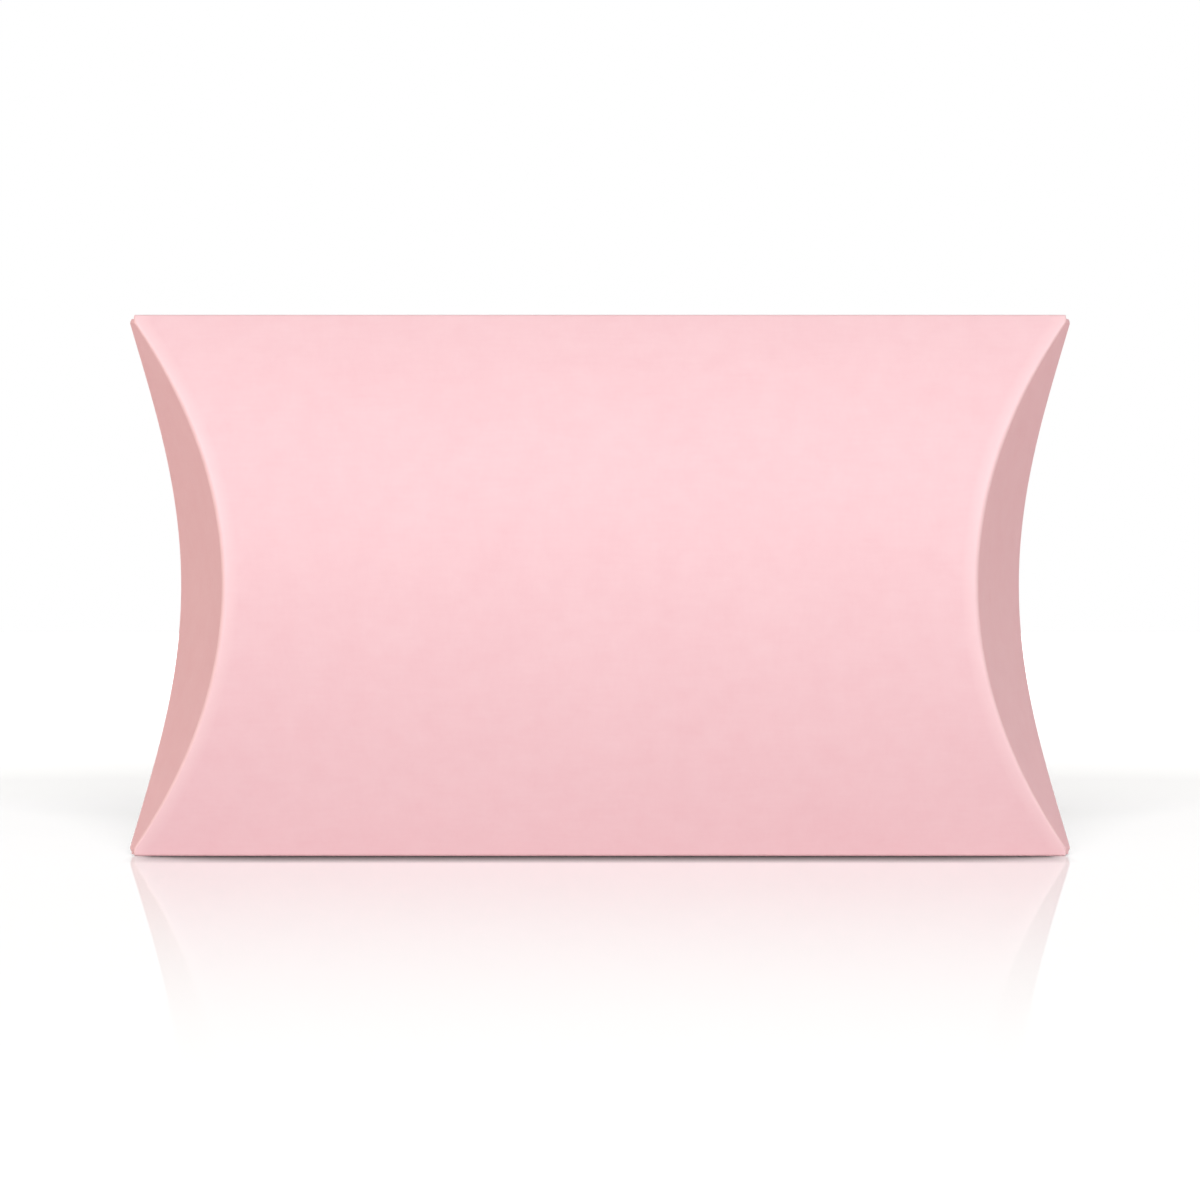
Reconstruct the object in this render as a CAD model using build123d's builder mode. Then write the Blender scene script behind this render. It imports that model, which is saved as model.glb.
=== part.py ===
from build123d import *
from math import atan2, hypot, sin, sqrt
import os

os.makedirs("parts", exist_ok=True)

# A pillow box of folded card, closed. All lengths are in millimetres.
# X runs along the long folds, Z is up, and the front panel bows towards -Y.
# The origin is under the middle of the lower long fold, which the box stands on.

# The box
length = 160.0  # over the four corners, along X
height = 92.0  # from the lower long fold to the upper one
depth = 28.0  # over the two bowed panels, at mid height
board = 0.45  # one thickness of card

# The curved scores, where a panel ends and a flap starts
score_reach = 16.9  # from the corner line to the deepest point of a score, along X
score_gap = 0.5  # the crushed card of the score, between panel and flap

# The levels of a panel's sections, from mid height down and up, as shares of mid_height
panel_level_shares = (-1, -0.85, -0.6, -0.3, 0, 0.3, 0.6, 0.85, 1)

# The outer flap of each end, hinged on the front panel
outer_edge_reach = 8.5  # from the corner line to the middle of the free edge, along X
outer_edge_setback = 3.6  # from the middle of the free edge to the back score, along Y
outer_tip_gap = 1.2  # from a long fold to the tip of the flap
edge_crown_share = 0.11  # half the length of the free edge's flat crown, as a share of half_chord

# The inner flap of each end, hinged on the back panel
inner_flap_length = 18.0  # from the back score to the free edge, at mid height
nest_clearance = 0.25  # between the tips of the inner flap and the outer flap

# The glued seam, inside the back panel, along the lower long fold
tab_width = 13.0  # from the lower long fold to the tab's free edge
tab_setback = 12.0  # from the corner line to the end of the tab's root, along X
tab_taper = 5.0  # how much shorter the tab's free edge is at each end
glue = 0.12  # the thickness of the adhesive
glue_clearance = 0.02  # between the adhesive and the back panel
glue_inset = 2.0  # from the edges of the tab to the adhesive

# Every level section of the box is the middle section, scaled towards the corner lines
# by 1 - t * t, where t is the height from the middle as a share of half_chord. So each
# bowed line is a parabola, which is a Bezier curve with one control point between its
# ends. half_chord is a little more than half the height, because the pressed long folds
# are two thicknesses of card.
mid_height = height / 2
bow = depth / 2
fold_width = 2 * board
half_chord = mid_height / sqrt(1 - fold_width / depth)
corner_x = length / 2 + score_reach * fold_width / depth
score_sagitta = hypot(score_reach, bow)
overrun = depth + score_sagitta  # how far a cut runs, past all that it meets


def bowed_line(sagitta, end, start=0):
    """A parabola from (start, -end) to (start, end), whose middle is sagitta away."""
    return Bezier((start, -end), (start + 2 * sagitta, 0), (start, end))


def inset_chord(sagitta, inset):
    """Half the chord of the parabola that lies inset inside the given one."""
    return half_chord - inset / sin(atan2(2 * sagitta, half_chord))


def sheet_section(sagitta, inset, thickness=board):
    """The section of a bowed sheet whose first face lies inset inside the given parabola."""
    near_end = inset_chord(sagitta, inset)
    far_end = inset_chord(sagitta, inset + thickness)
    with BuildSketch() as section:
        with BuildLine():
            bowed_line(sagitta - inset, near_end)
            Line((0, near_end), (0, far_end))
            bowed_line(sagitta - inset - thickness, far_end)
            Line((0, -far_end), (0, -near_end))
        make_face()
    return section.sketch


def upright_plane(origin_x, across):
    """A plane whose local x is the level direction across, and whose local y is up."""
    across = Vector(*across).normalized()
    return Plane(origin=(origin_x, 0, mid_height), x_dir=across, z_dir=across.cross(Vector(0, 0, 1)))


def score_plane(side, face):
    """The plane of one curved score, with its local x from the corner line to the score."""
    return upright_plane(side * corner_x, (-side * score_reach, face * bow, 0))


def beyond_score():
    """What lies on the flap's side of a score, in the plane of the score."""
    with BuildSketch() as window:
        with BuildLine():
            bowed_line(score_sagitta, half_chord, -score_gap)
            Polyline(
                (-score_gap, half_chord),
                (-overrun, half_chord),
                (-overrun, -half_chord),
                (-score_gap, -half_chord),
            )
        make_face()
    return window.sketch


# The front panel: a bowed sheet, lofted through level sections that reach from score to score
with BuildPart() as front_panel:
    for level_share in panel_level_shares:
        rise = level_share * mid_height
        outer_fullness = 1 - (rise / half_chord) ** 2
        inner_fullness = 1 - (rise / inset_chord(bow, board)) ** 2
        inner_bow = (bow - board) * inner_fullness
        with BuildSketch(Plane.XY.offset(mid_height + rise)):
            with Locations((0, -inner_bow)):
                Rectangle(
                    2 * (corner_x - score_reach * outer_fullness),
                    bow * outer_fullness - inner_bow,
                    align=(Align.CENTER, Align.MAX),
                )
    loft()
    split(bisect_by=Plane.XZ, keep=Keep.TOP)
front_panel.part.label = "front_panel"
export_step(front_panel.part, "parts/front_panel.step")

# The back panel: the same sheet, bowed the other way
with BuildPart() as back_panel:
    mirror(front_panel.part, about=Plane.XZ)
back_panel.part.label = "back_panel"
export_step(back_panel.part, "parts/back_panel.step")

# The outer flap: card bowed into the end, straight along the line from score to free edge
flap_run = (score_reach - outer_edge_reach, depth - outer_edge_setback)
flap_across = (-flap_run[1], flap_run[0], 0)
outer_sagitta = (score_reach * flap_run[1] - bow * flap_run[0]) / hypot(*flap_run)
edge_height = edge_crown_share * half_chord
edge_control_x = corner_x - outer_edge_reach * 4 / 3
with BuildPart() as outer_flap_right:
    with BuildSketch(upright_plane(corner_x, flap_across).offset(-overrun)):
        add(sheet_section(outer_sagitta, -board))
        Rectangle(2 * overrun, height - 2 * outer_tip_gap, mode=Mode.INTERSECT)
    extrude(amount=2 * overrun)
    with BuildSketch(score_plane(1, -1).offset(-overrun)):
        add(beyond_score())
    extrude(amount=2 * overrun, mode=Mode.INTERSECT)
    with BuildSketch(upright_plane(0, (1, 0, 0)).offset(-overrun)):
        with BuildLine():
            Bezier(
                (corner_x, -half_chord),
                (edge_control_x, -edge_height),
                (edge_control_x, edge_height),
                (corner_x, half_chord),
            )
            Polyline((corner_x, half_chord), (0, half_chord), (0, -half_chord), (corner_x, -half_chord))
        make_face()
    extrude(amount=2 * overrun, mode=Mode.INTERSECT)
outer_flap_right.part.label = "outer_flap_right"
export_step(outer_flap_right.part, "parts/outer_flap_right.step")

with BuildPart() as outer_flap_left:
    mirror(outer_flap_right.part, about=Plane.YZ)
outer_flap_left.part.label = "outer_flap_left"
export_step(outer_flap_left.part, "parts/outer_flap_left.step")

# The inner flap: the same, straight along Y, and short enough to swing out past the outer one
nest_slope = flap_run[0] / hypot(*flap_run)
nest_gap = (depth - inner_flap_length) * nest_slope
inner_tip_fraction = (board + nest_clearance) / nest_gap
inner_tip_gap = mid_height - half_chord * sqrt(1 - inner_tip_fraction)
inner_edge_sagitta = inner_flap_length - bow
with BuildPart() as inner_flap_right:
    with BuildSketch(upright_plane(corner_x, (-1, 0, 0)).offset(-overrun)):
        add(sheet_section(score_reach, -board))
        Rectangle(2 * overrun, height - 2 * inner_tip_gap, mode=Mode.INTERSECT)
    extrude(amount=2 * overrun)
    with BuildSketch(score_plane(1, 1).offset(-overrun)):
        add(beyond_score())
    extrude(amount=2 * overrun, mode=Mode.INTERSECT)
    with BuildSketch(upright_plane(corner_x + overrun, (0, -1, 0))):
        with BuildLine():
            bowed_line(inner_edge_sagitta, half_chord)
            Polyline((0, half_chord), (-overrun, half_chord), (-overrun, -half_chord), (0, -half_chord))
        make_face()
    extrude(amount=corner_x + overrun, mode=Mode.INTERSECT)
inner_flap_right.part.label = "inner_flap_right"
export_step(inner_flap_right.part, "parts/inner_flap_right.step")

with BuildPart() as inner_flap_left:
    mirror(inner_flap_right.part, about=Plane.YZ)
inner_flap_left.part.label = "inner_flap_left"
export_step(inner_flap_left.part, "parts/inner_flap_left.step")

# The glue tab: folded up from the front panel at the lower long fold, inside the back panel
tab_root = corner_x - tab_setback
glue_depth = board + glue_clearance
with BuildPart() as glue_tab:
    with BuildSketch(upright_plane(-tab_root, (0, 1, 0))):
        add(sheet_section(bow, glue_depth + glue))
        with Locations((0, -mid_height)):
            Rectangle(depth, tab_width, align=Align.MIN, mode=Mode.INTERSECT)
    extrude(amount=2 * tab_root)
    with BuildSketch(Plane.XZ.offset(-overrun)):
        with BuildLine():
            tab_corners = ((tab_root, 0), (tab_root - tab_taper, tab_width))
            Polyline(*tab_corners, *[(-x, z) for x, z in reversed(tab_corners)], close=True)
        make_face()
    extrude(amount=2 * overrun, mode=Mode.INTERSECT)
glue_tab.part.label = "glue_tab"
export_step(glue_tab.part, "parts/glue_tab.step")

# The glue line: a strip of adhesive between the tab and the inside of the back panel
glue_half_length = tab_root - tab_taper - glue_inset
glue_width = tab_width - 2 * glue_inset
with BuildPart() as glue_line:
    with BuildSketch(upright_plane(-glue_half_length, (0, 1, 0))):
        add(sheet_section(bow, glue_depth, glue))
        with Locations((0, glue_inset - mid_height)):
            Rectangle(depth, glue_width, align=Align.MIN, mode=Mode.INTERSECT)
    extrude(amount=2 * glue_half_length)
glue_line.part.label = "glue_line"
export_step(glue_line.part, "parts/glue_line.step")
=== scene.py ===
"""A pillow box of pale pink card, closed and standing on its lower long fold, seen from the front."""

import math
from types import SimpleNamespace

import bpy
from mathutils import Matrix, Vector


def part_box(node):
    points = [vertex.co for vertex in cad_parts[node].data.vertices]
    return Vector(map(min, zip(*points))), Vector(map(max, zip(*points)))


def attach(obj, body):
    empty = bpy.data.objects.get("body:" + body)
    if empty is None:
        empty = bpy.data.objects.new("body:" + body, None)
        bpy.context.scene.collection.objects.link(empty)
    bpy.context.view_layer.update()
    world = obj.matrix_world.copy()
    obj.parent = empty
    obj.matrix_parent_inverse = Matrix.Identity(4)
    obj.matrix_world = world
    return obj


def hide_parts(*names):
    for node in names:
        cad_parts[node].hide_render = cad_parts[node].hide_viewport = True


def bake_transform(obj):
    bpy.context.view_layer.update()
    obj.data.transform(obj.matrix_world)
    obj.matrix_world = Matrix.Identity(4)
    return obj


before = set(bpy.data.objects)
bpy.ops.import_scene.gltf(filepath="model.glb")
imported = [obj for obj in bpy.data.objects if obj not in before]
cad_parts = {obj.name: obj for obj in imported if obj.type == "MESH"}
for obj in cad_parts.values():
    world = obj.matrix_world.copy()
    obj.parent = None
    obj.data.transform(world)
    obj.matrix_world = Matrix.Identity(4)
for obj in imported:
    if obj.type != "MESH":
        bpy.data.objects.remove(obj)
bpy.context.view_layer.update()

MM = 0.001

# The box, read from the frame
front_low, front_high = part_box("front_panel")
HALF_LENGTH = front_high.x
MID_HEIGHT = front_high.z / 2
BOW = -front_low.y

# The card. Its two bows would meet in a point a little past the pressed long folds.
BOARD = 0.45 * MM
HALF_CHORD = MID_HEIGHT / math.sqrt(1 - BOARD / BOW)

# The curved scores. Their reach follows the photographed crease, just inside the CAD's score.
SCORE_REACH = 17.45 * MM  # from the corner line to the deepest point of a score, along X
CORNER_X = HALF_LENGTH + SCORE_REACH * BOARD / BOW  # the corner line, from which reaches are measured
BEAD_SIZE = 0.6 * MM  # from a score's sharp line to the panel's side of its rolled bead
BEAD_ROLL = 1.5  # how much longer a bead is on its flap's side
BEAD_FADE = 0.08  # the fullness of the box at which a bead has half its size
STRIP_SHARE = 0.016  # the width of the painted highlight strip beside a score, as a share of the panel

# The long folds and the four corners
FOLD_DROP = 0.39 * MM  # from the top of a long fold to where its round nose begins
CORNER_ACROSS = 0.95 * MM  # how far each corner is rounded off along the box
CORNER_DOWN = 1.5 * MM  # and how far down

# The flaps. A free edge's place is at mid height, from the corner line, as X and Y.
OUTER_EDGE = Vector((-8.5 * MM, 10.4 * MM, 0))
OUTER_EDGE_FLATNESS = 0.3  # how much less the free edge reaches in near its tips
OUTER_TIP_GAP = 0.7 * MM  # from a long fold to the tip of the flap
INNER_EDGE = Vector((-16.9 * MM, -4.0 * MM, 0))
INNER_TIP_GAP = 4.55 * MM
FLAP_LAP = 0.95  # where a flap starts, as a share of the bead on its side
FLAP_CORNER = 0.5  # how much smaller the rounding of a flap's tip is

# The seam along the lower long fold
SEAM_WRAP = 0.3 * MM  # how far the front sheet turns under, past the middle of the fold
SEAM_STEP = 0.42 * MM  # from the floor to the cut edge of the back panel

# How much each fold is made paler, from 0 to 1: a painted highlight beside and in the beads of the
# scores, and wear with a painted highlight along the long folds
STRIP_HIGHLIGHT = 0.6
BEAD_HIGHLIGHT = 0.4  # on top of the strip's
FOLD_WEAR_AND_HIGHLIGHT = 0.2

# How finely the card is divided
ROWS = 321
FOLD_ROWS_SHARE = 0.03
PANEL_COLUMNS = 145
FLAP_COLUMNS = 49
BEAD_COLUMNS = 12
SHARP_ANGLE = math.radians(50)
TINY = 1e-6  # stands in for a share of nothing where it divides


def add_object(name, data):
    """A new object in the scene, at the origin."""
    added = bpy.data.objects.new(name, data)
    bpy.context.scene.collection.objects.link(added)
    return added


class Sum:
    """A number inside a node tree, so that a formula in nodes reads as one in Python."""

    def __init__(self, tree, socket):
        self.tree = tree
        self.socket = socket

    def worked(self, operation, *terms):
        """What a Math node makes of these terms."""
        node = self.tree.nodes.new("ShaderNodeMath")
        node.operation = operation
        for slot, term in zip(node.inputs, terms):
            join(self.tree, term, slot)
        return Sum(self.tree, node.outputs[0])

    def __add__(self, other):
        return self.worked("ADD", self, other)

    def __sub__(self, other):
        return self.worked("SUBTRACT", self, other)

    def __rsub__(self, other):
        return self.worked("SUBTRACT", other, self)

    def __mul__(self, other):
        return self.worked("MULTIPLY", self, other)

    def __truediv__(self, other):
        return self.worked("DIVIDE", self, other)

    __radd__ = __add__
    __rmul__ = __mul__

    def sine(self):
        return self.worked("SINE", self)

    def root(self):
        return self.worked("SQRT", self)

    def size(self):
        return self.worked("ABSOLUTE", self)

    def sign(self):
        return self.worked("SIGN", self)

    def power(self, other):
        return self.worked("POWER", self, other)

    def at_least(self, other):
        return self.worked("MAXIMUM", self, other)

    def at_most(self, other):
        return self.worked("MINIMUM", self, other)

    def above(self, other):
        """1 where this is more than the other, and 0 elsewhere."""
        return self.worked("GREATER_THAN", self, other)

    def share(self):
        """This, kept between 0 and 1."""
        return self.at_least(0.0).at_most(1.0)


def join(tree, source, target):
    """Links a Sum or a socket to an input of a node, or sets the input to a plain value."""
    if isinstance(source, Sum):
        source = source.socket
    if isinstance(source, bpy.types.NodeSocket):
        tree.links.new(source, target)
    else:
        target.default_value = source


def parts_of(tree, socket):
    """The X, Y and Z of a vector in a node tree."""
    node = tree.nodes.new("ShaderNodeSeparateXYZ")
    tree.links.new(socket, node.inputs[0])
    return [Sum(tree, out) for out in node.outputs]


def mixed(tree, share, first, second):
    """One colour turning into another as share goes from 0 to 1."""
    node = tree.nodes.new("ShaderNodeMix")
    node.data_type = "RGBA"
    join(tree, share, node.inputs["Factor"])
    colours = [slot for slot in node.inputs if slot.type == "RGBA"]
    join(tree, first, colours[0])
    join(tree, second, colours[1])
    return next(slot for slot in node.outputs if slot.type == "RGBA")


# The inputs of the card's node tree. Start and End are a card's left and right edges from outside.
ENDS = ("Start", "End")
EDGE_PARTS = ("Corner", "Reach", "Inward", "Roll")
CARD_COUNTS = ("Columns", "Rows")
CARD_NUMBERS = (
    "Middle Height", "Half Chord", "Top Height", "Bottom Height", "Top Drop", "Bottom Drop",
    "Top Past", "Bottom Past", "Bow", "Bead Size", "Bead Fade", "Bead Share", "Fold Share",
    "Start Flatness", "End Flatness", "Strip Share", "Corner X", "Corner Across", "Corner Down",
)
CARD_VECTORS = tuple(f"{end} {part}" for end in ENDS for part in EDGE_PARTS)

# The axes of a level section of the box
ACROSS = 0
DEPTH = 1


def card_inputs(tree):
    """Gives the card's tree its named inputs and its output."""
    kinds = {"Int": CARD_COUNTS, "Float": CARD_NUMBERS, "Vector": CARD_VECTORS, "Material": ("Card",)}
    for kind, names in kinds.items():
        for name in names:
            tree.interface.new_socket(name, in_out="INPUT", socket_type=f"NodeSocket{kind}")
    tree.interface.new_socket("Geometry", in_out="OUTPUT", socket_type="NodeSocketGeometry")
    return tree.nodes.new("NodeGroupInput").outputs


def card_row(value, rise):
    """What a row of the card shares, by its rise: 0 at mid height, 1 at the top, -1 at the bottom.

    Rows crowd towards the folds, and the last few go round the nose of a fold.
    """
    upper = rise.above(0.0)

    def at_end(part):
        """A value of the top or of the bottom, by the half that the row is in."""
        return value[f"Bottom {part}"] + (value[f"Top {part}"] - value[f"Bottom {part}"]) * upper

    height = at_end("Height")
    drop = at_end("Drop")
    body_height = height - drop
    body_share = 1.0 - value["Fold Share"]
    past_body = (rise.size() - body_share) / value["Fold Share"].at_least(TINY)
    nose = past_body.share() * drop.above(0.0)
    body = (rise.size() / body_share).at_most(1.0)
    level = (body * (math.pi / 2)).sine() * body_height + drop * (2.0 * nose - nose * nose)

    chord_square = value["Half Chord"] * value["Half Chord"]
    fall = level * level / chord_square
    fullness = 1.0 - fall
    body_level = level.at_most(body_height)
    nose_turn = 4.0 * nose * (1.0 - nose) * body_height * drop / chord_square
    depth_fullness = (
        (1.0 - body_level * body_level / chord_square) * (1.0 - nose * nose)
        - nose_turn
        - nose * nose * at_end("Past") / value["Bow"]
    )
    return SimpleNamespace(
        nose=nose,
        height=value["Middle Height"] + level * rise.sign(),
        fall=fall,
        fullness=fullness,
        depth_fullness=depth_fullness,
        bead=value["Bead Size"] * fullness / (fullness + value["Bead Fade"]),
        past_corner=((level - height + value["Corner Down"]) / value["Corner Down"]).share(),
    )


def card_column(value, along):
    """How far a column is between the beads of the card, and how far out of each bead it is."""
    share = value["Bead Share"]
    unbeaded = 1.0 - share.above(0.0)
    between = ((along - share) / (1.0 - 2.0 * share)).share()
    turn = {}
    for end, passed in zip(ENDS, (along, 1.0 - along)):
        turn[end] = (passed / share.at_least(TINY)).share().at_least(unbeaded)
    return between, turn


def straight_end(value, vector, row, end):
    """Where the straight part of the card ends, as X and Y: a bead short of the edge itself."""
    corner, reach, inward, _ = (vector[f"{end} {part}"] for part in EDGE_PARTS)
    flat = 1.0 - value[f"{end} Flatness"] * row.fall
    return (
        corner[ACROSS] + reach[ACROSS] * row.fullness * flat + row.bead * inward[ACROSS],
        corner[DEPTH] + reach[DEPTH] * row.depth_fullness + row.bead * inward[DEPTH],
    )


def bead_offset(vector, row, turn, end):
    """How far the bead at an edge carries a point on from there, as X and Y."""
    inward = vector[f"{end} Inward"]
    roll = vector[f"{end} Roll"]
    left = 1.0 - turn[end]
    return [
        row.bead * (roll[axis] * left * left - inward[axis] * (1.0 - turn[end] * turn[end]))
        for axis in (ACROSS, DEPTH)
    ]


def painted_highlight_and_wear(value, row, between, turn):
    """How much a point is made paler: a painted highlight beside and in the beads, and wear with a
    painted highlight along the long folds.
    """
    beside = between.at_most(1.0 - between) / value["Strip Share"].at_least(TINY)
    strip = (1.0 - beside).share() * value["Strip Share"].above(0.0)
    beaded = 2.0 - turn["Start"] - turn["End"]
    return (strip * (beaded * BEAD_HIGHLIGHT + STRIP_HIGHLIGHT)).at_least(row.nose * FOLD_WEAR_AND_HIGHLIGHT)


def card_tree():
    """A sheet of card, ruled between two upright curved edges that follow the box's fullness.

    The fullness is 1 at mid height and falls to nothing at the corners, as a parabola. An edge is
    at its corner line plus its reach times the fullness. Where an edge has a roll, the card turns
    into that direction there, in a small round bead. The top and bottom may end in the round nose
    of a long fold.
    """
    tree = bpy.data.node_groups.new("bowed_card", "GeometryNodeTree")
    given = card_inputs(tree)
    value = {name: Sum(tree, given[name]) for name in CARD_NUMBERS}
    vector = {name: parts_of(tree, given[name]) for name in CARD_VECTORS}

    # A grid one metre square, whose columns run up the card
    grid = tree.nodes.new("GeometryNodeMeshGrid")
    grid.inputs["Size X"].default_value = 1.0
    grid.inputs["Size Y"].default_value = 1.0
    tree.links.new(given["Columns"], grid.inputs["Vertices X"])
    tree.links.new(given["Rows"], grid.inputs["Vertices Y"])
    place = tree.nodes.new("GeometryNodeInputPosition")
    grid_x, grid_y, _ = parts_of(tree, place.outputs[0])
    between, turn = card_column(value, grid_x + 0.5)
    row = card_row(value, grid_y * 2.0)

    start, end = (straight_end(value, vector, row, name) for name in ENDS)
    start_bead, end_bead = (bead_offset(vector, row, turn, name) for name in ENDS)
    x, y = (
        start[axis] * (1.0 - between) + end[axis] * between + start_bead[axis] + end_bead[axis]
        for axis in (ACROSS, DEPTH)
    )
    corner_cut = value["Corner Across"] * row.past_corner * (row.past_corner + 1.0) * 0.5
    x = x * (1.0 - corner_cut / value["Corner X"])

    # The painted highlight and wear are stored while the grid still tells where each point is, and
    # then the grid is bent
    store = tree.nodes.new("GeometryNodeStoreNamedAttribute")
    store.data_type = "FLOAT"
    store.domain = "POINT"
    store.inputs["Name"].default_value = "highlight_and_wear"
    join(tree, painted_highlight_and_wear(value, row, between, turn), store.inputs["Value"])
    point = tree.nodes.new("ShaderNodeCombineXYZ")
    for number, slot in zip((x, y, row.height), point.inputs):
        join(tree, number, slot)
    bend = tree.nodes.new("GeometryNodeSetPosition")
    tree.links.new(point.outputs[0], bend.inputs["Position"])
    realize = tree.nodes.new("GeometryNodeRealizeInstances")
    finish = tree.nodes.new("GeometryNodeSetMaterial")
    tree.links.new(given["Card"], finish.inputs["Material"])

    geometry = grid.outputs["Mesh"]
    for step in (store, bend, realize, finish):
        tree.links.new(geometry, step.inputs["Geometry"])
        geometry = step.outputs["Geometry"]
    out = tree.nodes.new("NodeGroupOutput")
    tree.links.new(geometry, out.inputs["Geometry"])
    return tree


def upright_edge(corner, reach, inward=(0, 0, 0), roll=(0, 0, 0), flatness=0.0):
    """The left or right of a card: its corner line, its reach there, and the bead that it turns in."""
    return {
        "Corner": Vector(corner),
        "Reach": Vector(reach),
        "Inward": Vector(inward),
        "Roll": Vector(roll),
        "Flatness": flatness,
    }


def flat_edge(height):
    """The top or bottom of a card that is cut straight across, by its distance from mid height."""
    return {"Height": height, "Drop": 0.0, "Past": 0.0}


def folded_edge(past=0.0):
    """The top or bottom of a card that turns over in a long fold of the box."""
    return {"Height": MID_HEIGHT, "Drop": FOLD_DROP, "Past": past}


def card_values(start, end, top, bottom, beads):
    """What one piece of card gives to the inputs of the tree."""
    columns = PANEL_COLUMNS if beads else FLAP_COLUMNS
    rounding = 1.0 if beads else FLAP_CORNER
    values = {
        "Columns": columns,
        "Rows": ROWS,
        "Middle Height": MID_HEIGHT,
        "Half Chord": HALF_CHORD,
        "Bow": BOW,
        "Bead Size": BEAD_SIZE,
        "Bead Fade": BEAD_FADE,
        "Bead Share": BEAD_COLUMNS / (columns - 1) if beads else 0.0,
        "Strip Share": STRIP_SHARE if beads else 0.0,
        "Fold Share": FOLD_ROWS_SHARE,
        "Corner X": CORNER_X,
        "Corner Across": CORNER_ACROSS * rounding,
        "Corner Down": CORNER_DOWN * rounding,
        "Card": PINK_CARD,
    }
    for name, edge in (("Start", start), ("End", end), ("Top", top), ("Bottom", bottom)):
        for part, given in edge.items():
            values[f"{name} {part}"] = given
    return values


def make_card(name, start, end, top, bottom, beads):
    """A piece of card with its thickness, as a plain mesh."""
    base = add_object(name + "_sheet", bpy.data.meshes.new(name + "_sheet"))
    sheet = base.modifiers.new("card", "NODES")
    sheet.node_group = CARD_TREE
    values = card_values(start, end, top, bottom, beads)
    for item in CARD_TREE.interface.items_tree:
        if item.in_out == "INPUT":
            sheet[item.identifier] = values[item.name]
    wall = base.modifiers.new("thickness", "SOLIDIFY")
    wall.thickness = BOARD
    wall.offset = -1.0
    wall.use_even_offset = True
    wall.use_quality_normals = True
    wall.material_offset = CARD_FINISH.index(CARD_INSIDE)
    wall.material_offset_rim = CARD_FINISH.index(CUT_EDGE)
    for material in CARD_FINISH:
        base.data.materials.append(material)

    depsgraph = bpy.context.evaluated_depsgraph_get()
    mesh = bpy.data.meshes.new_from_object(
        base.evaluated_get(depsgraph), preserve_all_data_layers=True, depsgraph=depsgraph
    )
    bpy.data.objects.remove(base)
    mesh.name = name
    mesh.materials.clear()
    for material in CARD_FINISH:
        mesh.materials.append(material)
    mesh.shade_smooth()
    mesh.set_sharp_from_angle(angle=SHARP_ANGLE)
    return add_object(name, mesh)


def linear(red, green, blue):
    """A colour given as on a screen, from 0 to 255, as a shader reads it."""
    shares = [channel / 255 for channel in (red, green, blue)]
    return [s / 12.92 if s <= 0.04045 else ((s + 0.055) / 1.055) ** 2.4 for s in shares] + [1.0]


class Finish:
    """A material whose nodes are added one by one."""

    def __init__(self, name):
        self.material = bpy.data.materials.new(name)
        self.material.use_nodes = True
        self.tree = self.material.node_tree
        self.shader = self.tree.nodes["Principled BSDF"]
        self.place = self.node("ShaderNodeTexCoord").outputs["Object"]

    def node(self, kind, **given):
        """A new node, with what is given to its inputs by name."""
        node = self.tree.nodes.new(kind)
        for name, source in given.items():
            join(self.tree, source, node.inputs[name.replace("_", " ")])
        return node

    def noise(self, scale, detail=2.0, stretch=(1, 1, 1)):
        """Noise from -1 to 1, with its scale in grains per metre."""
        mapping = self.node("ShaderNodeMapping", Vector=self.place, Scale=stretch)
        grain = self.node("ShaderNodeTexNoise", Vector=mapping.outputs[0], Scale=scale, Detail=detail)
        return (Sum(self.tree, grain.outputs["Fac"]) - 0.5) * 2.0

    def attribute(self, name):
        """A number that is stored on the mesh."""
        node = self.node("ShaderNodeAttribute")
        node.attribute_name = name
        return Sum(self.tree, node.outputs["Fac"])

    def surface(self, colour, roughness, height, depth, strength):
        """Gives the shader its colour and roughness, and bumps of this height and depth."""
        bump = self.node("ShaderNodeBump", Height=height, Distance=depth, Strength=strength)
        join(self.tree, colour, self.shader.inputs["Base Color"])
        join(self.tree, roughness.share(), self.shader.inputs["Roughness"])
        join(self.tree, bump.outputs[0], self.shader.inputs["Normal"])


# Screen colours of the card: its pink face, and the bare board inside and along cut edges
PINK = linear(242, 207, 215)
PINK_DEEP = linear(238, 197, 206)
# the pale pink of a painted highlight along the scores, with some wear on the long folds
PINK_HIGHLIGHT_AND_WEAR = linear(252, 222, 228)
BARE_BOARD = linear(236, 229, 222)
BARE_BOARD_FLECK = linear(222, 212, 203)
CUT_BOARD = linear(240, 226, 222)
CUT_BOARD_LAYER = linear(214, 196, 192)
DRY_GLUE = linear(232, 226, 212)
DRY_GLUE_THIN = linear(214, 206, 190)
WHITE = (1, 1, 1, 1)

# Grains per metre
CLOUD_GRAIN = 38
MOTTLE_GRAIN = 260
FIBRE_GRAIN = 1500
TOOTH_GRAIN = 3600

# How rough each finish is, before its grain makes it a little more or less so
PINK_ROUGHNESS = 0.58
BARE_BOARD_ROUGHNESS = 0.86
CUT_BOARD_ROUGHNESS = 0.9
DRY_GLUE_ROUGHNESS = 0.45


def fibres(finish):
    """Long and short paper fibres that lie mostly along the box, from about -1 to 1."""
    long_fibres = finish.noise(FIBRE_GRAIN, detail=3, stretch=(0.16, 1, 1))
    short_fibres = finish.noise(FIBRE_GRAIN, detail=3, stretch=(1, 1, 0.3))
    return long_fibres * 0.6 + short_fibres * 0.4


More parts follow.
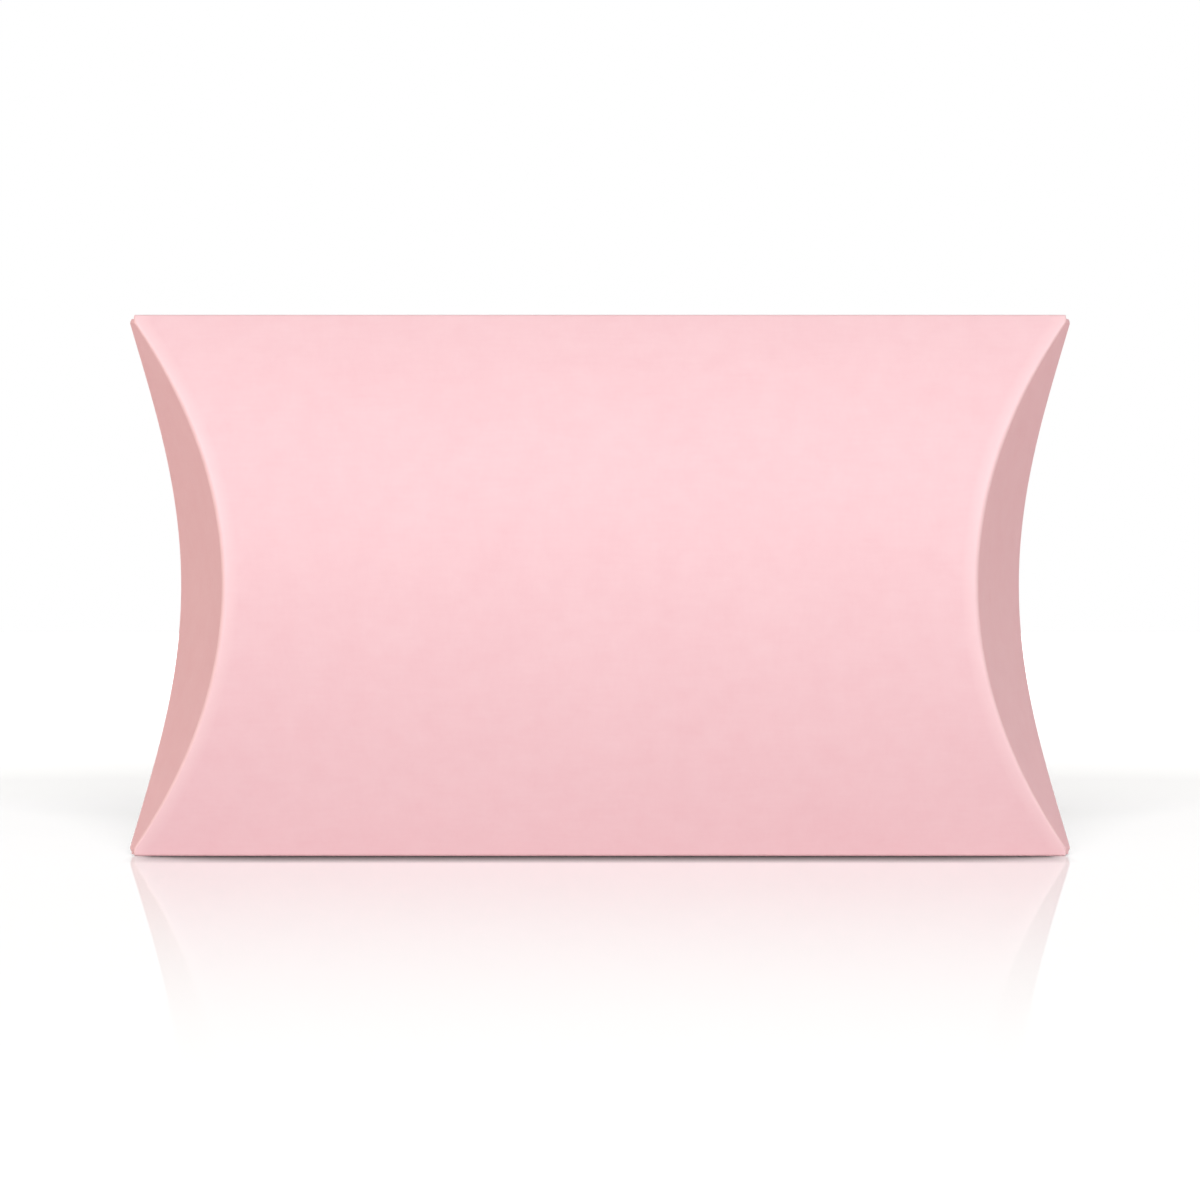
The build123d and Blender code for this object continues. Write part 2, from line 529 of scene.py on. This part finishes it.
def pink_card():
    """Matt coated card: clouds and mottling in the colour, fine fibres, and folds made a little pale
    by a painted highlight and some wear.
    """
    finish = Finish("pink_card")
    grain = fibres(finish)
    clouds = finish.noise(CLOUD_GRAIN)
    mottling = finish.noise(MOTTLE_GRAIN, detail=4)
    deep = (0.42 + clouds * 0.3 + mottling * 0.5 + grain * 0.35).share()
    # Paler pink where the folds carry a painted highlight, and some wear on the long folds
    highlight_and_wear_share = (finish.attribute("highlight_and_wear") * (0.9 + finish.noise(MOTTLE_GRAIN) * 0.4)).share()
    colour = mixed(finish.tree, highlight_and_wear_share, mixed(finish.tree, deep, PINK, PINK_DEEP), PINK_HIGHLIGHT_AND_WEAR)
    finish.surface(
        colour,
        roughness=PINK_ROUGHNESS + grain * 0.05 - highlight_and_wear_share * 0.06,
        height=grain * 0.7 + finish.noise(TOOTH_GRAIN) * 0.3,
        depth=0.02 * MM,
        strength=0.5,
    )
    finish.shader.inputs["Specular IOR Level"].default_value = 0.8
    return finish.material


def bare_board():
    """The uncoated inside of the card, off-white and woolly."""
    finish = Finish("bare_board")
    grain = fibres(finish)
    fleck = (finish.noise(MOTTLE_GRAIN, detail=4) * 0.6 + grain * 0.6 + 0.3).share()
    finish.surface(
        mixed(finish.tree, fleck, BARE_BOARD, BARE_BOARD_FLECK),
        roughness=BARE_BOARD_ROUGHNESS + grain * 0.06,
        height=grain,
        depth=0.03 * MM,
        strength=0.7,
    )
    finish.shader.inputs["Specular IOR Level"].default_value = 0.2
    return finish.material


def cut_board():
    """A cut edge of the card, where its layers show."""
    finish = Finish("cut_board")
    layers = finish.noise(TOOTH_GRAIN, detail=3, stretch=(1, 1, 0.2))
    finish.surface(
        mixed(finish.tree, (layers + 0.4).share(), CUT_BOARD, CUT_BOARD_LAYER),
        roughness=CUT_BOARD_ROUGHNESS + layers * 0.05,
        height=layers,
        depth=0.04 * MM,
        strength=0.8,
    )
    return finish.material


def dry_glue():
    """The strip of set adhesive inside the seam."""
    finish = Finish("dry_glue")
    ripple = finish.noise(MOTTLE_GRAIN, detail=3, stretch=(0.3, 1, 1))
    finish.surface(
        mixed(finish.tree, (ripple * 0.8 + 0.5).share(), DRY_GLUE, DRY_GLUE_THIN),
        roughness=DRY_GLUE_ROUGHNESS + ripple * 0.1,
        height=ripple,
        depth=0.03 * MM,
        strength=0.6,
    )
    return finish.material


CARD_TREE = card_tree()
PINK_CARD = pink_card()
CARD_INSIDE = bare_board()
CUT_EDGE = cut_board()
CARD_FINISH = [PINK_CARD, CARD_INSIDE, CUT_EDGE]

# Signs: along Y for the front and back panels, and along X for the two ends of the box
FRONT = -1
BACK = 1
SIDES = {"left": -1, "right": 1}


def flap_direction(side, face, free_edge):
    """Which way a flap runs from its score at mid height, given the place of its free edge."""
    run = (free_edge - Vector((-SCORE_REACH, face * BOW, 0))).normalized()
    return Vector((side * run.x, run.y, 0))


def panel_edge(side, face, free_edge):
    """The score of a panel at one end of the box, which turns towards the flap there."""
    return upright_edge(
        corner=(side * CORNER_X, 0, 0),
        reach=(-side * SCORE_REACH, face * BOW, 0),
        inward=(-side, 0, 0),
        roll=flap_direction(side, face, free_edge) * BEAD_ROLL,
    )


def make_panel(name, node, face, free_edge, bottom):
    """One bowed panel, with the bead of a score at both ends."""
    # Seen from outside, the left end of the front panel is the box's left, and of the back its right
    start = panel_edge(face, face, free_edge)
    end = panel_edge(-face, face, free_edge)
    panel = make_card(name, start, end, folded_edge(), bottom, beads=True)
    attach(panel, "tube")
    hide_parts(node)


def make_flap(name, kind, end, face, free_edge, tip_gap, flatness=0.0):
    """One closing flap, from the bead of its score to its free edge."""
    side = SIDES[end]
    node = f"{kind}_flap_{end}"
    corner = (side * CORNER_X, 0, 0)
    score_reach = Vector((-side * SCORE_REACH, face * BOW, 0))
    edge_reach = Vector((side * free_edge.x, free_edge.y, 0))
    bead_end = flap_direction(side, face, free_edge) * BEAD_ROLL * FLAP_LAP
    score = upright_edge(corner, score_reach, inward=bead_end)
    free = upright_edge(corner, edge_reach, flatness=flatness)
    # Seen from outside, the score of an outer flap at the right end is on its left
    left, right = (score, free) if side * face < 0 else (free, score)
    span = flat_edge(MID_HEIGHT - tip_gap)
    flap = make_card(f"{name}_{end}", left, right, span, span, beads=False)

    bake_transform(flap)
    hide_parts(node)


make_panel("front_sheet", "front_panel", FRONT, OUTER_EDGE, folded_edge(past=SEAM_WRAP))
make_panel("back_sheet", "back_panel", BACK, INNER_EDGE, flat_edge(MID_HEIGHT - SEAM_STEP))
for end in SIDES:
    make_flap("closing_flap", "outer", end, FRONT, OUTER_EDGE, OUTER_TIP_GAP, OUTER_EDGE_FLATNESS)
    make_flap("under_flap", "inner", end, BACK, INNER_EDGE, INNER_TIP_GAP)

# The seam, which is the CAD's own: the tab shows the inside of the card
for node_name, material in (("glue_tab", CARD_INSIDE), ("glue_line", dry_glue())):
    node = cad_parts[node_name]
    node.data.materials.clear()
    node.data.materials.append(material)


# The camera stands in front of the box, a little below its middle
PIXELS_PER_MM = 5.88
PICTURE = 1200
CAMERA_DISTANCE = 900 * MM
CAMERA_HEIGHT = 43.5 * MM
CAMERA_RANGE = 100.0
SENSOR = 36.0

camera = add_object("camera", bpy.data.cameras.new("camera"))
camera.data.sensor_width = SENSOR
camera.data.lens = SENSOR * CAMERA_DISTANCE / (PICTURE / PIXELS_PER_MM * MM)
camera.data.clip_end = CAMERA_RANGE
camera.location = (0, -CAMERA_DISTANCE, CAMERA_HEIGHT)
camera.rotation_euler = (math.radians(90), 0, 0)
bpy.context.scene.camera = camera


def softbox(name, place, size, power, colour=(1, 1, 1), sheen=True):
    """A soft rectangular lamp that faces the box. Without sheen, it gives matt light alone."""
    lamp = bpy.data.lights.new(name, "AREA")
    lamp.shape = "RECTANGLE"
    lamp.size, lamp.size_y = size
    lamp.energy = power
    lamp.color = colour
    held = add_object(name, lamp)
    held.location = place
    aim = Vector((0, 0, MID_HEIGHT)) - held.location
    held.rotation_euler = aim.to_track_quat("-Z", "Y").to_euler()
    held.visible_glossy = sheen
    return held


# The lamps: a key from above the camera, and matt fills from all round
WARM = (1, 0.58, 0.38)
ROSY = (1, 0.8, 0.78)
softbox("key", place=(0, -2.6, 1.6), size=(2.4, 1.5), power=51)
fills = (
    softbox("front", place=(0, -2.4, 0.3), size=(1.6, 0.8), power=6.5, sheen=False),
    softbox("left", place=(-1.5, -0.3, 0.6), size=(0.8, 0.5), power=5.0, colour=WARM, sheen=False),
    softbox("right", place=(1.5, -0.3, 0.6), size=(0.8, 0.5), power=3.1, colour=ROSY, sheen=False),
    softbox("rear", place=(0, 2.4, 0.7), size=(2.0, 0.9), power=30, sheen=False),
)


def seen_plainly(tree):
    """1 where a surface is seen, also in a mirror or through glass, and 0 where it gives light."""
    path = tree.nodes.new("ShaderNodeLightPath")
    kinds = ("Camera", "Glossy", "Singular", "Transmission")
    camera_ray, glossy, sharp, through = (Sum(tree, path.outputs[f"Is {kind} Ray"]) for kind in kinds)
    return camera_ray.at_least(glossy * sharp).at_least(through)


# The world: white where it is seen, and as a light a soft grey that is warm at both sides
WORLD_LIGHT = 0.36
SIDE_LIGHT = (0.88, 0.54, 0.28, 1)

world = bpy.data.worlds.new("studio")
bpy.context.scene.world = world
world.use_nodes = True
sky = world.node_tree
sky_seen = seen_plainly(sky)
aside = parts_of(sky, sky.nodes.new("ShaderNodeTexCoord").outputs["Generated"])[ACROSS]
sky_tint = mixed(sky, aside * aside * (1.0 - sky_seen), WHITE, SIDE_LIGHT)
join(sky, sky_seen * (1.0 - WORLD_LIGHT) + WORLD_LIGHT, sky.nodes["Background"].inputs["Strength"])
join(sky, sky_tint, sky.nodes["Background"].inputs["Color"])

# The floor: matt and white, with a polish that shows the box near it and fades with distance
FLOOR_HALF = 6.0
FLOOR_WHITE = (0.36, 0.36, 0.36, 1)  # as it is seen, under its own lamp
FLOOR_BOUNCE = (0.258, 0.214, 0.205, 1)  # as it lights the box
FLOOR_ROUGHNESS = 0.9
FLOOR_IOR = 1.5
REFLECTION = 0.6
REFLECTION_REACH = 0.45
CONTACT_REACH = 23 * MM  # how far from the box the floor is dimmed under it
CONTACT_DEPTH = 2.0
CONTACT_END = 4 * MM  # the dim line fades out over this length before each corner
FADE_START = 0.4  # where the floor begins to turn into the white background
FADE_LENGTH = 1.6

floor_mesh = bpy.data.meshes.new("floor")
floor_mesh.from_pydata(
    [(x * FLOOR_HALF, y * FLOOR_HALF, 0) for x, y in ((-1, -1), (1, -1), (1, 1), (-1, 1))],
    [],
    [(0, 1, 2, 3)],
)
floor = add_object("floor", floor_mesh)


def floor_finish():
    """A white floor that turns into the background far off, with a polish, and dim under the box."""
    finish = Finish("floor")
    tree = finish.tree
    seen = seen_plainly(tree)
    x, y, _ = parts_of(tree, finish.place)

    # Matt, and glowing to the camera where it turns into the background
    join(tree, mixed(tree, seen, FLOOR_BOUNCE, FLOOR_WHITE), finish.shader.inputs["Base Color"])
    finish.shader.inputs["Roughness"].default_value = FLOOR_ROUGHNESS
    finish.shader.inputs["Specular IOR Level"].default_value = 0.0
    far = (((x * x + y * y).root() - FADE_START) / FADE_LENGTH).share()
    glow = finish.node("ShaderNodeEmission", Color=WHITE, Strength=seen * far)
    matt = finish.node("ShaderNodeAddShader")
    join(tree, finish.shader.outputs[0], matt.inputs[0])
    join(tree, glow.outputs[0], matt.inputs[1])

    # The polish, strongest beside the box and at a low angle
    off_x = (x.size() - HALF_LENGTH).at_least(0.0)
    off_y = (y.size() - BOW).at_least(0.0)
    near = (1.0 - (off_x * off_x + off_y * off_y).root() / REFLECTION_REACH).share()
    gloss = Sum(tree, finish.node("ShaderNodeFresnel", IOR=FLOOR_IOR).outputs[0])
    mirror = finish.node("ShaderNodeBsdfAnisotropic", Color=WHITE, Roughness=0.0)
    polished = finish.node("ShaderNodeMixShader")
    join(tree, near * near * (3.0 - 2.0 * near) * gloss * REFLECTION, polished.inputs[0])
    join(tree, matt.outputs[0], polished.inputs[1])
    join(tree, mirror.outputs[0], polished.inputs[2])

    # Under the leaning panels the floor is dim, and darkest along the line where the box stands
    shade = finish.node("ShaderNodeAmbientOcclusion", Distance=CONTACT_REACH)
    dimming = 1.0 - Sum(tree, shade.outputs["AO"]).power(CONTACT_DEPTH)
    under_box = ((HALF_LENGTH - x.size()) / CONTACT_END).share()
    dimmed = finish.node("ShaderNodeMixShader")
    join(tree, 1.0 - dimming * under_box * seen, dimmed.inputs[0])
    join(tree, polished.outputs[0], dimmed.inputs[2])
    join(tree, dimmed.outputs[0], tree.nodes["Material Output"].inputs["Surface"])
    return finish.material


def floor_rule(name, state):
    """A collection that tells a lamp to light the floor alone, or all but the floor."""
    rule = bpy.data.collections.new(name)
    rule.objects.link(floor)
    rule.collection_objects[0].light_linking.link_state = state
    return rule


floor_mesh.materials.append(floor_finish())

# The fills stay off the floor, and a low broad lamp of its own gives it the box's long shadow
SWEEP_POWER = 26.3
SWEEP_BREADTH = math.radians(30)
SWEEP_ELEVATION = math.radians(15)

off_floor = floor_rule("off_floor", "EXCLUDE")
for fill in fills:
    fill.light_linking.receiver_collection = off_floor

sweep_lamp = bpy.data.lights.new("floor_light", "SUN")
sweep_lamp.energy = SWEEP_POWER
sweep_lamp.angle = SWEEP_BREADTH
sweep_light = add_object("floor_light", sweep_lamp)
sweep_light.rotation_euler = (math.radians(90) - SWEEP_ELEVATION, 0, 0)
sweep_light.visible_glossy = False
sweep_light.light_linking.receiver_collection = floor_rule("on_floor", "INCLUDE")

bpy.context.scene.view_settings.view_transform = "Standard"
